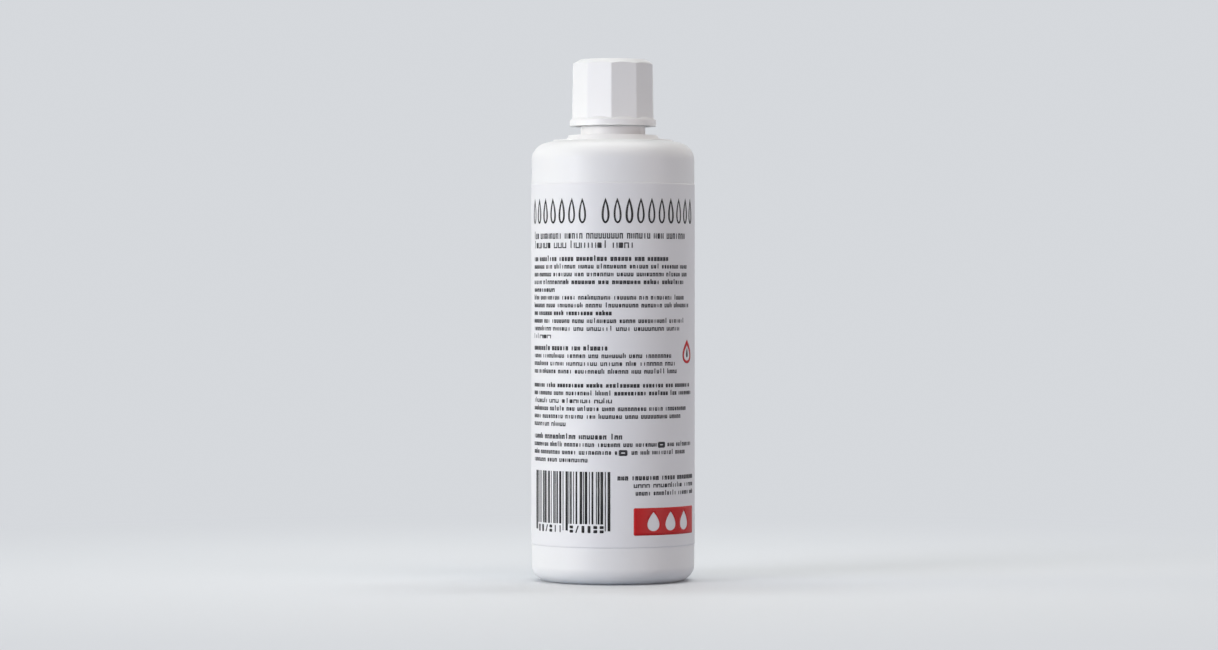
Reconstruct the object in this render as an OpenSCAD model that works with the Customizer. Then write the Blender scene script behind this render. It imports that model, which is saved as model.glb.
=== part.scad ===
// Round plastic bottle of liquid descaler, with a ten-sided screw cap and a wrap-round label.
// The bottle stands on z = 0 with its axis on z, and its printed panel faces -y.

/* [Body] */
// Outer diameter of the body
body_d = 41.5; // [36:0.5:50]
// Height of the deck, the flat ring on top of the shoulder
deck_z = 112.3; // [106:0.1:130]
// Wall thickness of the body
wall = 0.9; // [0.7:0.1:1.3]
// Radius of the heel round the base
heel_r = 4.1; // [2.5:0.1:5.5]
// Radius of the shoulder's rounded edge
shoulder_r = 4.6; // [3:0.1:5]
// Slope of the shoulder between its rounded edge and the deck, in degrees
shoulder_slope = 13; // [9:1:16]
// Outer diameter of the deck
deck_d = 30.4; // [27:0.2:31]
// Height of the step at the deck's edge
deck_step = 0.25; // [0.2:0.05:0.6]
// Thickness of the base
base_wall = 1.2; // [0.9:0.1:2]
// Depth of the hollow under the base
punt_depth = 2; // [1:0.1:3]
// Width of the flat ring that the bottle stands on
foot_w = 2.2; // [1.5:0.1:4]

/* [Neck] */
// Diameter of the collar at its foot
collar_d = 23.9; // [22.5:0.1:25]
// Height of the collar
collar_h = 1.2; // [0.8:0.1:1.6]
// How far the collar's side leans in
collar_lean = 0.65; // [0.3:0.05:1]
// Outer diameter of the neck
neck_d = 16.5; // [15.5:0.1:17]
// Diameter of the neck's bore
bore_d = 13.2; // [11:0.1:13.6]
// Length of neck that shows between the collar and the cap
neck_gap = 2.3; // [1.5:0.1:4]
// Rounding of the neck's rim
rim_r = 0.4; // [0.2:0.05:0.6]

/* [Thread] */
// Rise of the thread in one turn
thread_pitch = 3; // [2.8:0.1:3.6]
// Turns of thread, on the neck and in the cap
thread_turns = 1.75; // [1.25:0.25:2.5]
// Height of the thread above the surface that carries it
thread_h = 0.64; // [0.5:0.02:0.7]
// Width of the thread where it meets the surface that carries it
thread_root_w = 1.4; // [1.2:0.05:1.5]
// Width of the thread at its crest
thread_crest_w = 0.7; // [0.5:0.05:0.8]
// Depth of the thread's upper end below the rim
thread_depth = 2.2; // [2:0.1:3]
// Clearance between a thread's crest and the surface it faces
thread_clear = 0.2; // [0.15:0.01:0.3]
// Clearance between the flanks that bear on each other
flank_clear = 0.1; // [0.08:0.01:0.2]

/* [Cap] */
// Height of the cap
cap_h = 17; // [16:0.1:19]
// Number of flats round the cap
cap_sides = 10; // [8:1:12]
// Distance across the flats at their foot
flats_foot = 20.6; // [20.4:0.1:21]
// Distance across the flats at the top
flats_top = 20.1; // [19.8:0.1:20.4]
// Turn of the flats' edges from the front, in degrees
flats_turn = -2.2; // [-36:0.1:36]
// How much each edge between two flats is blunted
edge_blunt = 0.08; // [0.02:0.01:0.15]
// Diameter of the flat top
cap_top_d = 16.8; // [15:0.1:18]
// Slope of the bevel round the top, in degrees
cap_bevel = 29.5; // [20:0.5:45]
// Thickness of the cap's top
cap_top_wall = 1.2; // [1:0.1:1.6]
// Diameter of the flange at the foot of the cap
flange_d = 22; // [21.6:0.1:23]
// Height of the flange's upright edge
flange_h = 1.5; // [1:0.1:2]
// Bevel inside the cap's mouth
mouth_bevel = 0.5; // [0.3:0.05:0.8]
// Diameter of the moulding gate's dimple in the top
gate_d = 2.4; // [1.5:0.1:4]
// Depth of the moulding gate's dimple
gate_depth = 0.2; // [0.1:0.05:0.4]

/* [Liner] */
// Thickness of the foam liner
liner_t = 1; // [0.8:0.1:1.4]
// Clearance between the liner and the cap's bore
liner_clear = 0.2; // [0.1:0.05:0.4]

/* [Label] */
// Thickness of the label
label_t = 0.12; // [0.1:0.01:0.2]
// Height of the label's lower edge
label_z = 9.4; // [6:0.1:12]
// Height of the label from edge to edge
label_h = 91.6; // [88:0.1:93]
// Gap between the label's ends at the back
seam_w = 3; // [1:0.5:6]
// Radius of the label's corners
label_corner_r = 1.5; // [0.5:0.1:2.5]

/* [Print] */
// Thickness of the ink
ink_t = 0.05; // [0.04:0.01:0.08]
// Width of the printed column
column_w = 51.6; // [46:0.1:53]
// How far the column's middle lies left of the panel's
column_shift = 0.4; // [0:0.1:2]
// Distance from one printed line to the next
line_pitch = 1.95; // [1.8:0.05:2.2]
// Width of one letter and the gap after it
letter_w = 0.83; // [0.7:0.01:0.95]
// Height of an ordinary line's letters
letter_h = 0.8; // [0.6:0.05:1]
// Height of a heading's letters
heading_h = 1.05; // [0.8:0.05:1.2]
// Height of the letters in the two lines under the title
intro_h = 1.4; // [1:0.05:1.7]
// Distance between the two lines under the title
intro_pitch = 2.35; // [2:0.05:2.6]
// Height of a drop in the title row
drop_h = 6.4; // [4:0.1:6.5]
// Width of a drop in the title row
drop_w = 2; // [1.6:0.1:2.6]
// Distance from one drop to the next
drop_pitch = 3; // [2.8:0.05:3.1]
// Line width of the drops
drop_line = 0.34; // [0.2:0.02:0.4]
// Width of the bar panel
bars_w = 24.2; // [22:0.1:26]
// How far the bar panel stands in from the column's left edge
bars_in = 1.3; // [0.5:0.1:2]
// Height of the bars in the bar panel
bar_h = 13.5; // [10:0.1:14]
// How much further down the long bars reach
long_bar_drop = 1.7; // [1:0.1:2]
// Height of the marks under the bars
mark_h = 1.6; // [1:0.1:1.8]
// Width of a mark under the bars
mark_w = 0.9; // [0.7:0.1:1.2]
// Gap between the bars and the marks under them
mark_drop = 0.6; // [0.4:0.1:0.8]
// Gap between the bar panel and the lines beside it
side_gap = 1.8; // [1:0.1:3]
// How far the red panel, and the lines over it, reach past the column's right edge
red_past = 1.4; // [0:0.1:2]
// Width of the red panel
red_w = 21.6; // [18:0.1:23]
// Height of the red panel
red_h = 6.9; // [6:0.1:8]
// Height of a bare drop in the red panel
red_drop_h = 4.4; // [3:0.1:5]
// Width of a bare drop in the red panel
red_drop_w = 3; // [2:0.1:4]
// Height of the red drop beside the text
sign_h = 6; // [5:0.1:7]
// Width of the red drop beside the text
sign_w = 4.6; // [4:0.1:5]
// Line width of the red drop
sign_line = 0.55; // [0.3:0.05:0.8]

/* [Contents] */
// Volume of descaler in the bottle, in millilitres
fill_ml = 125; // [95:1:128]
// Gap left between the descaler and the walls
fill_gap = 0.05; // [0.02:0.01:0.1]

/* [Hidden] */
$fn = 128;

// Outside of the body
body_r = body_d / 2;
deck_r = deck_d / 2;
slope_top_z = deck_z - deck_step;
wall_top_z = slope_top_z - (body_r - deck_r) * tan(shoulder_slope);
foot_r = body_r - heel_r - foot_w;
punt_r = (foot_r * foot_r + punt_depth * punt_depth) / (2 * punt_depth);

// Inside of the body
bore_r = bore_d / 2;
inner_r = body_r - wall;
inner_heel_r = heel_r - wall;
inner_wall_top_z = wall_top_z - wall / cos(shoulder_slope) + wall * tan(shoulder_slope);
inner_slope_top_z = inner_wall_top_z + (inner_r - bore_r) * tan(shoulder_slope);

// Neck and cap
neck_r = neck_d / 2;
collar_r = collar_d / 2;
collar_top_z = deck_z + collar_h;
cap_z = collar_top_z + neck_gap;
cap_top_z = cap_z + cap_h;
ceiling_z = cap_top_z - cap_top_wall;
rim_z = ceiling_z - liner_t;
cap_bore_r = neck_r + thread_h + thread_clear;
foot_corner_r = flats_foot / 2 / cos(180 / cap_sides);
top_corner_r = flats_top / 2 / cos(180 / cap_sides);
flat_lean = atan((flats_foot - flats_top) / 2 / cap_h);
flange_r = flange_d / 2;

// Thread: each bead is sunk into the surface that carries it, and fades into it at both ends
thread_steps = 24;
fade_steps = 3;
thread_sink = 0.3;
thread_fade_sink = 0.06;
flank_lean = (thread_root_w - thread_crest_w) / 2 / thread_h;
thread_start_z = rim_z - thread_depth - thread_pitch * thread_turns;
thread_offset = thread_crest_w + flank_lean * (thread_h - thread_clear) + flank_clear;

// Label and print
label_r = body_r + label_t;
label_top_z = label_z + label_h;
column_x = -column_w / 2 - column_shift;
column_end = column_x + column_w;

// The parts of the print hang at these shares of the label's height below its top: a row's middle,
// a block's first line, or a panel's top
title_at = 0.0764;
intro_at = 0.1457;
side_at = 0.8085;
bars_at = 0.787;
red_at = 0.8903;
sign_at = 0.4635;
function print_z(share) = label_top_z - share * label_h;

drop_groups = [7, 10];
intro_lines = [0.93, 0.61];
// Each block is the place of its first line, then its lines' lengths as shares of the column; a
// length below zero marks a heading
text_blocks = [
    [0.2088, [-0.8, 0.95, 0.95, 0.92, 0.19, 0.92, 0.97, 0.5, 0.92, 0.88, 0.16]],
    [0.4536, [-0.48, 0.82, 0.85, 0.86]],
    [0.5557, [0.98, 1, 0.5, 0.94, 0.89, 0.26]],
    [0.6965, [-0.55, 1, 0.93, 0.38]]
];
// The lines over the red panel, as shares of the room beside the bars
side_lines = [1, 0.84, 0.82];
bar_count = 30;
bar_x = column_x + bars_in;
bar_top_z = print_z(bars_at);
marks_in_group = 6;
red_end = column_end + red_past;
red_x = red_end - red_w;
red_z = print_z(red_at) - red_h;
sign_x = column_end - sign_w / 2;

// Descaler: the volume under the level where the walls are upright, in thin slices, then the rest
slices = 60;
upright_z = base_wall + max(inner_heel_r, punt_depth);
function cavity_r(z) =
    z >= base_wall + inner_heel_r
        ? inner_r
        : inner_r - inner_heel_r
            + sqrt(pow(inner_heel_r, 2) - pow(base_wall + inner_heel_r - z, 2));
function dome_r(z) =
    z >= base_wall + punt_depth
        ? 0
        : sqrt(pow(punt_r + base_wall, 2) - pow(z + punt_r - punt_depth, 2));
function total(list, i = 0) = i < len(list) ? list[i] + total(list, i + 1) : 0;
slice_h = (upright_z - base_wall) / slices;
low_volume = total([
    for (i = [0:slices - 1])
        let (z = base_wall + (i + 0.5) * slice_h)
            PI * (pow(cavity_r(z), 2) - pow(dome_r(z), 2)) * slice_h
]);
fill_z = upright_z + (fill_ml * 1000 - low_volume) / (PI * inner_r * inner_r);

// A 2D corner at p, whose edges leave it along a and b, and the tip that rounding to r takes off it
function unit(v) = v / norm(v);
function half_angle(a, b) = acos(unit(a) * unit(b)) / 2;
module corner_tip(p, a, b, r) {
    reach = r / tan(half_angle(a, b));
    centre = p + unit(unit(a) + unit(b)) * r / sin(half_angle(a, b));
    past = 1.3;
    difference() {
        polygon([
            centre,
            centre + (p + unit(a) * reach - centre) * past,
            centre + (p - centre) * past,
            centre + (p + unit(b) * reach - centre) * past
        ]);
        translate(centre) circle(r);
    }
}

// Half sections of the bottle, right of the axis
module outside_section() {
    slope = [deck_r - body_r, slope_top_z - wall_top_z];
    difference() {
        union() {
            polygon([
                [0, 0], [body_r, 0], [body_r, wall_top_z], [deck_r, slope_top_z], [0, slope_top_z]
            ]);
            square([deck_r, deck_z]);
            polygon([
                [0, 0], [collar_r, 0], [collar_r, deck_z], [collar_r - collar_lean, collar_top_z],
                [0, collar_top_z]
            ]);
            square([neck_r, rim_z]);
        }
        corner_tip([body_r, 0], [-1, 0], [0, 1], heel_r);
        corner_tip([body_r, wall_top_z], [0, -1], slope, shoulder_r);
        corner_tip([neck_r, rim_z], [-1, 0], [0, -1], rim_r);
        translate([0, punt_depth - punt_r]) circle(punt_r);
    }
}

module cavity_section(inset = 0) {
    r = inner_r - inset;
    slope = [bore_r - inner_r, inner_slope_top_z - inner_wall_top_z];
    difference() {
        union() {
            polygon([
                [0, base_wall + inset], [r, base_wall + inset], [r, inner_wall_top_z],
                [bore_r, inner_slope_top_z], [0, inner_slope_top_z]
            ]);
            square([bore_r, rim_z + 1]);
        }
        corner_tip([r, base_wall + inset], [-1, 0], [0, 1], inner_heel_r - inset);
        corner_tip([r, inner_wall_top_z], [0, -1], slope, shoulder_r - wall);
        translate([0, punt_depth - punt_r]) circle(punt_r + base_wall + inset);
    }
}

// A thread bead on a round surface of radius r; out is 1 for a neck and -1 for a cap
module thread_bead(r, out, start_z) {
    steps = round(thread_turns * thread_steps);
    root_half = thread_root_w / 2 + flank_lean * thread_sink;
    sections = [
        for (i = [0:steps])
            let (
                turn = 360 * i / thread_steps,
                fade = min(1, i / fade_steps, (steps - i) / fade_steps),
                crest = r + out * (thread_h * fade - thread_fade_sink * (1 - fade)),
                root = r - out * thread_sink,
                z = start_z + thread_pitch * turn / 360
            )
            for (p = [
                [root, z - root_half],
                [crest, z - thread_crest_w / 2],
                [crest, z + thread_crest_w / 2],
                [root, z + root_half]
            ])
                [p[0] * cos(turn), p[0] * sin(turn), p[1]]
    ];
    sides = [
        for (i = [0:steps - 1], k = [0:3])
            let (a = 4 * i + k, b = 4 * i + (k + 1) % 4)
                for (f = [[a, b, b + 4], [a, b + 4, a + 4]])
                    out < 0 ? [f[2], f[1], f[0]] : f
    ];
    last = 4 * steps;
    ends = [
        for (f = [[0, 1, 2], [0, 2, 3], [last + 2, last + 1, last], [last + 3, last + 2, last]])
            out < 0 ? f : [f[2], f[1], f[0]]
    ];
    polyhedron(points = sections, faces = concat(sides, ends), convexity = 6);
}

module bottle() {
    color("white") union() {
        difference() {
            rotate_extrude() outside_section();
            rotate_extrude() cavity_section();
        }
        thread_bead(neck_r, 1, thread_start_z);
    }
}

// The flats lean in towards the top; the turned blank is a little small, which blunts their edges
module cap_grip() {
    bevel_drop = (top_corner_r - cap_top_d / 2) * tan(cap_bevel);
    difference() {
        rotate_extrude() polygon([
            [0, cap_z], [foot_corner_r - edge_blunt, cap_z],
            [top_corner_r - edge_blunt, cap_top_z - bevel_drop], [cap_top_d / 2, cap_top_z],
            [0, cap_top_z]
        ]);
        for (i = [0:cap_sides - 1])
            rotate([0, 0, flats_turn - 90 + 360 * (i + 0.5) / cap_sides])
                translate([flats_foot / 2, -flange_r, cap_z]) rotate([0, -flat_lean, 0])
                    translate([0, 0, -1]) cube([flange_r, 2 * flange_r, cap_h + 3]);
    }
}

module cap_flange() {
    reach = flange_r - cap_bore_r;
    rotate_extrude() polygon([
        [cap_bore_r, cap_z], [flange_r, cap_z], [flange_r, cap_z + flange_h],
        [cap_bore_r, cap_z + flange_h + reach]
    ]);
}

module cap() {
    color("white") union() {
        difference() {
            union() {
                cap_grip();
                cap_flange();
            }
            translate([0, 0, cap_z - 1]) cylinder(h = ceiling_z - cap_z + 1, r = cap_bore_r);
            rotate_extrude() polygon([
                [0, cap_z - 1], [cap_bore_r + mouth_bevel + 1, cap_z - 1],
                [cap_bore_r, cap_z + mouth_bevel], [0, cap_z + mouth_bevel]
            ]);
            translate([0, 0, cap_top_z - gate_depth]) cylinder(h = gate_depth + 1, d = gate_d);
        }
        thread_bead(cap_bore_r, -1, thread_start_z - thread_offset);
    }
}

module cap_liner() {
    color("gainsboro") translate([0, 0, rim_z]) cylinder(h = liner_t, r = cap_bore_r - liner_clear);
}

// A thin skin on the label's outer face, over the whole panel's height
module skin(r, t) {
    translate([0, 0, label_z]) difference() {
        cylinder(h = label_h, r = r + t);
        translate([0, 0, -1]) cylinder(h = label_h + 2, r = r);
    }
}

// The gap between the label's ends, with the outsides of its rounded corners
module seam_cut() {
    arc_steps = 6;
    side = [
        [seam_w / 2 + label_corner_r, label_z - 1],
        for (i = [0:arc_steps])
            let (a = 270 - 90 * i / arc_steps)
                [seam_w / 2, label_z] + label_corner_r * [1 + cos(a), 1 + sin(a)],
        for (i = [0:arc_steps])
            let (a = 180 - 90 * i / arc_steps)
                [seam_w / 2, label_top_z] + label_corner_r * [1 + cos(a), sin(a) - 1],
        [seam_w / 2 + label_corner_r, label_top_z + 1]
    ];
    outline = concat(side, [for (i = [len(side) - 1:-1:0]) [-side[i][0], side[i][1]]]);
    translate([0, body_r + 2, 0]) rotate([90, 0, 0]) linear_extrude(height = 4) polygon(outline);
}

module label() {
    color("white") difference() {
        skin(body_r, label_t);
        seam_cut();
    }
}

// Ink on the label: x runs round the panel from its middle, and z is a height
function turn_at(x) = x / label_r * 180 / PI;
module ink_patch(x, w, z, h) {
    rotate([0, 0, turn_at(x) - 90]) rotate_extrude(angle = turn_at(w))
        translate([label_r, z]) square([ink_t, h]);
}

// What a 2D shape, upright at x and z, leaves on the label's face
module ink_stamp(x, z) {
    rotate([0, 0, turn_at(x) - 90]) translate([label_r - 1, 0, z])
        rotate([90, 0, 90]) linear_extrude(height = 2) children();
}

// A water drop of height h and width w, point up, centred on its height
drop_steps = 18;
drop_widest = 0.77;
function drop_points(w, h) = [
    for (i = [0:drop_steps - 1])
        let (a = 360 * i / drop_steps)
            [w / 2 * sin(a) * sin(a / 2) / drop_widest, h / 2 * cos(a)]
];
module drop_outline(w, h, line) {
    difference() {
        polygon(drop_points(w, h));
        translate([0, -line / 2]) polygon(drop_points(w - 2 * line, h - 3 * line));
    }
}

module print_title() {
    row_w = (total(drop_groups) + len(drop_groups) - 2) * drop_pitch;
    color("black") intersection() {
        skin(label_r, ink_t);
        union() {
            for (group = [0:len(drop_groups) - 1], i = [0:drop_groups[group] - 1]) {
                before = group == 0 ? 0 : drop_groups[0] + 1;
                ink_stamp((before + i) * drop_pitch - row_w / 2 - column_shift, print_z(title_at))
                    drop_outline(drop_w, drop_h, drop_line);
            }
        }
    }
}

// Word k has from 3 to 10 letters
function letters(k) = 3 + (k * 5 + floor(k / 3) * 7) % 8;
function words(k, x, end) =
    let (w = (letters(k) - 0.25) * letter_w)
        x + w > end ? [] : concat([[x, w]], words(k + 1, x + w + letter_w, end));
// One line of words in the room from x to x + length, against its left or its right end
module print_line(k, x, length, z, h, right = false) {
    found = words(k, x, x + length);
    line = len(found) > 0 ? found : [[x, length]];
    last = line[len(line) - 1];
    shift = right ? x + length - last[0] - last[1] : 0;
    for (word = line) ink_patch(word[0] + shift, word[1], z - h / 2, h);
}

module print_text() {
    side_w = red_end - bar_x - bars_w - side_gap;
    color("dimgray") union() {
        for (i = [0:len(intro_lines) - 1])
            print_line(
                40 * i, column_x, intro_lines[i] * column_w, print_z(intro_at) - i * intro_pitch, intro_h
            );
        for (b = [0:len(text_blocks) - 1], i = [0:len(text_blocks[b][1]) - 1]) {
            share = text_blocks[b][1][i];
            print_line(
                11 * i + 3 * b, column_x, abs(share) * column_w,
                print_z(text_blocks[b][0]) - i * line_pitch, share < 0 ? heading_h : letter_h
            );
        }
        for (i = [0:len(side_lines) - 1]) {
            length = side_lines[i] * side_w;
            print_line(
                7 * i, red_end - length, length, print_z(side_at) - i * line_pitch,
                i == 0 ? heading_h : letter_h, right = true
            );
        }
    }
}

// Plain bars of one to three units, which stand for no number
function bar_units(i) = 1 + (i * 5 % 7) % 3;
function gap_units(i) = 1 + (i * 3 % 5) % 3;
function units_before(i) = i == 0 ? 0 : units_before(i - 1) + bar_units(i - 1) + gap_units(i - 1);
bar_unit = bars_w / (units_before(bar_count - 1) + bar_units(bar_count - 1));
function bar_start(i) = units_before(i) * bar_unit;
function is_long(i) = i < 2 || i == bar_count / 2 - 1 || i == bar_count / 2 || i > bar_count - 3;
// The first bar over each group of marks, and the bar that ends it
mark_groups = [[2, bar_count / 2 - 1], [bar_count / 2 + 1, bar_count - 2]];
module print_bars() {
    color("black") union() {
        for (i = [0:bar_count - 1]) {
            h = bar_h + (is_long(i) ? long_bar_drop : 0);
            ink_patch(bar_x + bar_start(i), bar_units(i) * bar_unit, bar_top_z - h, h);
        }
        for (group = mark_groups, i = [0:marks_in_group - 1]) {
            pitch = (bar_start(group[1]) - bar_start(group[0])) / marks_in_group;
            x = bar_x + bar_start(group[0]) + (i + 0.5) * pitch - mark_w / 2;
            ink_patch(x, mark_w, bar_top_z - bar_h - mark_drop - mark_h, mark_h);
        }
    }
}

// A red panel with three bare drops, and one red drop beside the text
module print_red() {
    color("firebrick") union() {
        difference() {
            ink_patch(red_x, red_w, red_z, red_h);
            for (i = [1:3])
                ink_stamp(red_x + red_w * i / 4, red_z + red_h / 2)
                    polygon(drop_points(red_drop_w, red_drop_h));
        }
        intersection() {
            skin(label_r, ink_t);
            ink_stamp(sign_x, print_z(sign_at)) drop_outline(sign_w, sign_h, sign_line);
        }
    }
}

module descaler_liquid() {
    color("aliceblue") rotate_extrude() intersection() {
        cavity_section(fill_gap);
        square([body_r, fill_z]);
    }
}

bottle();
cap();
cap_liner();
label();
print_title();
print_text();
print_bars();
print_red();
descaler_liquid();
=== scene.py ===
import math
import random

import bpy
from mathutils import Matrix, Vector
from mathutils.geometry import delaunay_2d_cdt


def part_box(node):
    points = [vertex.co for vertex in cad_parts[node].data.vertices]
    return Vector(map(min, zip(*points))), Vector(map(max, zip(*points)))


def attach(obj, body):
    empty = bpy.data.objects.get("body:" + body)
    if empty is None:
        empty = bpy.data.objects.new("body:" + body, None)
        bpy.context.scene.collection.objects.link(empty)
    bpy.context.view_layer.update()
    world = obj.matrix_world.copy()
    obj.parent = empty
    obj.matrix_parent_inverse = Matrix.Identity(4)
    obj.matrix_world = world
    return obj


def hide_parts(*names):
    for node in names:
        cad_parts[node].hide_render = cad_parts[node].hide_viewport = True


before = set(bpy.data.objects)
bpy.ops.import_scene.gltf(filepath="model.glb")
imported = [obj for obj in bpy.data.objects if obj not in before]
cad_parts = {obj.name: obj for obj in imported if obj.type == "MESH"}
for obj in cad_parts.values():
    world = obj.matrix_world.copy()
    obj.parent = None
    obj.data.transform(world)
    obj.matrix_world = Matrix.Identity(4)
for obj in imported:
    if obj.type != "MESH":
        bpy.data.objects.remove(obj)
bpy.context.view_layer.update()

MM = 0.001


# The object's sizes are in millimetres, and those that the frame gives are read from it.
def box_mm(node):
    """A node's lowest and highest corners."""
    low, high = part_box(node)
    return low / MM, high / MM


bottle_low, bottle_high = box_mm("bottle")
cap_low, cap_high = box_mm("cap")
label_low, label_high = box_mm("label")
liner_low, liner_high = box_mm("cap_liner")
liquid_low, liquid_high = box_mm("descaler_liquid")

# Body: the slope runs from the shoulder up to a small step, and the flat deck lies inside that
BODY_R = bottle_high.x
WALL = 0.9
HEEL_R = 4.1
SHOULDER_R = 4.6
SHOULDER_SLOPE = math.radians(13)
DECK_R = 15.2
DECK_Z = 112.3
DECK_STEP = 0.25
BASE_WALL = 1.2
# The base is pushed up inside the ring that the bottle stands on
PUNT_DEPTH = 2.0
STANDING_W = 2.2
FOOT_R = BODY_R - HEEL_R - STANDING_W
RING_EDGE = 0.5
RING_R = FOOT_R + RING_EDGE

# Neck
COLLAR_R = 11.95
COLLAR_H = 1.2
COLLAR_LEAN = 0.65
NECK_R = 8.25
BORE_R = 6.6
RIM_Z = bottle_high.z
RIM_R = 0.4
# Plain neck between the collar and the rows that carry the thread
PLAIN_NECK = 1

# Thread, a bead whose ends fade out; the cap's lies lower by an offset, in the neck's groove
PITCH = 3.0
TURNS = 1.75
THREAD_H = 0.64
ROOT_W = 1.4
CREST_W = 0.7
FADE_TURNS = 0.125
THREAD_BELOW_RIM = 2.2
THREAD_START_Z = RIM_Z - THREAD_BELOW_RIM - PITCH * TURNS
THREAD_OFFSET = 1.04
THREAD_ROW = 0.1

# Cap: its flats lean in towards the top, and their edges are rounded
CAP_Z = cap_low.z
CAP_TOP_Z = cap_high.z
FLANGE_R = cap_high.x
CAP_BORE_R = 9.09
CEILING_Z = liner_high.z
SIDES = 10
FLATS_FOOT = 20.6
FLATS_TOP = 20.1
FLATS_TURN = math.radians(-2.2)
EDGE_ROUND = 0.8
CAP_TOP_R = 8.4
CAP_BEVEL = math.radians(29.5)
FLANGE_H = 1.5
MOUTH_BEVEL = 0.5
GATE_R = 1.2
GATE_DEPTH = 0.2
GATE_EDGE = 0.15
CEILING_CORNER = 0.3

# Label, ink and the column of text
LABEL_R = label_high.x
LABEL_Z = label_low.z
LABEL_TOP_Z = label_high.z
SEAM_W = 3.0
LABEL_CORNER_R = 1.5
LABEL_BEVEL = 0.12
LABEL_EDGE_T = 0.01
LABEL_GAP = 0.005
INK_T = 0.04
INK_GAP = 0.002
COLUMN_W = 51.6
COLUMN_SHIFT = 0.4
COLUMN_X = -COLUMN_W / 2 - COLUMN_SHIFT
COLUMN_END = COLUMN_X + COLUMN_W
LINE_PITCH = 1.95
LETTER_W = 0.83
LETTER_H = 0.93
HEADING_H = 1.05
INTRO_H = 1.4
INTRO_PITCH = 2.35


def fillet(points, radii, steps=6):
    """A polyline whose corners of a radius above zero become arcs."""
    out = []
    for i, radius in enumerate(radii):
        point = Vector(points[i])
        if radius == 0:
            out.append(point)
            continue
        a = (Vector(points[i - 1]) - point).normalized()
        b = (Vector(points[i + 1]) - point).normalized()
        half = a.angle(b) / 2
        centre = point + (a + b).normalized() * radius / math.sin(half)
        start = point + a * radius / math.tan(half) - centre
        end = point + b * radius / math.tan(half) - centre
        sweep = math.pi - 2 * half
        for k in range(steps + 1):
            part = k / steps
            mix = start * math.sin((1 - part) * sweep) + end * math.sin(part * sweep)
            out.append(centre + mix / math.sin(sweep))
    return out


def new_piece(name, points_mm, faces, material, replaced, body):
    """A smooth mesh that rides on a body and stands for a CAD node."""
    mesh = bpy.data.meshes.new(name)
    mesh.from_pydata([tuple(c * MM for c in p) for p in points_mm], [], faces)
    mesh.validate()
    mesh.shade_smooth()
    mesh.materials.append(material)
    piece = bpy.data.objects.new(name, mesh)
    bpy.context.scene.collection.objects.link(piece)
    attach(piece, body)
    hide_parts(replaced)
    return piece


def weigh_normals(piece):
    """Keeps broad faces flat and leaves the shading's turn to the narrow ones."""
    modifier = piece.modifiers.new("weighted_normals", "WEIGHTED_NORMAL")
    modifier.mode = "FACE_AREA"
    modifier.weight = 80
    modifier.keep_sharp = True


def lathe(angles, section):
    """Points and faces of a turned skin; section(angle) runs from the axis back to the axis."""
    sections = [section(a) for a in angles]
    rows = len(sections[0]) - 2
    points = [(0, 0, sections[0][0][1]), (0, 0, sections[0][-1][1])]
    for a, column in zip(angles, sections):
        points += [(r * math.cos(a), r * math.sin(a), z) for r, z in column[1:-1]]
    faces = []
    for i in range(len(angles)):
        here = 2 + i * rows
        there = 2 + (i + 1) % len(angles) * rows
        faces.append((0, there, here))
        faces += [(here + k, there + k, there + k + 1, here + k + 1) for k in range(rows - 1)]
        faces.append((1, here + rows - 1, there + rows - 1))
    return points, faces


def even_angles(count, extra=()):
    """Evenly spaced angles with finer ones added, in order and in radians."""
    turns = {round(360 * i / count, 4) for i in range(count)} | {round(e % 360, 4) for e in extra}
    return [math.radians(t) for t in sorted(turns)]


def bead(angle, z, start_z):
    """Height of the thread above its wall at a place on that wall."""
    height = 0
    for whole in range(math.ceil(TURNS) + 1):
        turn = angle / math.tau + whole
        if turn > TURNS:
            continue
        off = abs(z - start_z - PITCH * turn)
        flank = (ROOT_W / 2 - off) / ((ROOT_W - CREST_W) / 2)
        fade = min(1, turn / FADE_TURNS, (TURNS - turn) / FADE_TURNS)
        height = max(height, THREAD_H * max(0, min(1, flank)) * max(0, fade))
    return height


def thread_rows(start_z):
    """Heights of the rows that a thread needs, with some wall below and above it."""
    low = start_z - ROOT_W
    high = start_z + PITCH * TURNS + ROOT_W
    count = round((high - low) / THREAD_ROW)
    return [low + (high - low) * i / count for i in range(count + 1)]


# Materials. In each, bump and roughness vary as they do on the real surface.
def node_material(name, colour, roughness):
    """A plain material to build on, with its nodes, its links and its shader."""
    material = bpy.data.materials.new(name)
    material.use_nodes = True
    nodes = material.node_tree.nodes
    shader = nodes["Principled BSDF"]
    shader.inputs["Base Color"].default_value = (*colour, 1)
    shader.inputs["Roughness"].default_value = roughness
    return material, nodes, material.node_tree.links, shader


# The middle range of a noise, which is stretched over what the noise drives
NOISE_LOW, NOISE_HIGH = 0.3, 0.7
# How much darker the slow drift of a white plastic's colour gets
DRIFT = 0.985


def noise(nodes, links, scale, detail=3, stretch=(1, 1, 1)):
    """A noise in object space, so that it keeps its real size; scale is in cells a metre."""
    place = nodes.new("ShaderNodeTexCoord")
    mapping = nodes.new("ShaderNodeMapping")
    mapping.inputs["Scale"].default_value = stretch
    texture = nodes.new("ShaderNodeTexNoise")
    texture.inputs["Scale"].default_value = scale
    texture.inputs["Detail"].default_value = detail
    links.new(place.outputs["Object"], mapping.inputs["Vector"])
    links.new(mapping.outputs["Vector"], texture.inputs["Vector"])
    return texture


def roughen(nodes, links, shader, texture, low, high):
    """Roughness that runs from low to high with the texture."""
    ramp = nodes.new("ShaderNodeMapRange")
    ramp.inputs["From Min"].default_value = NOISE_LOW
    ramp.inputs["From Max"].default_value = NOISE_HIGH
    ramp.inputs["To Min"].default_value = low
    ramp.inputs["To Max"].default_value = high
    links.new(texture.outputs["Fac"], ramp.inputs["Value"])
    links.new(ramp.outputs["Result"], shader.inputs["Roughness"])


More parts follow.
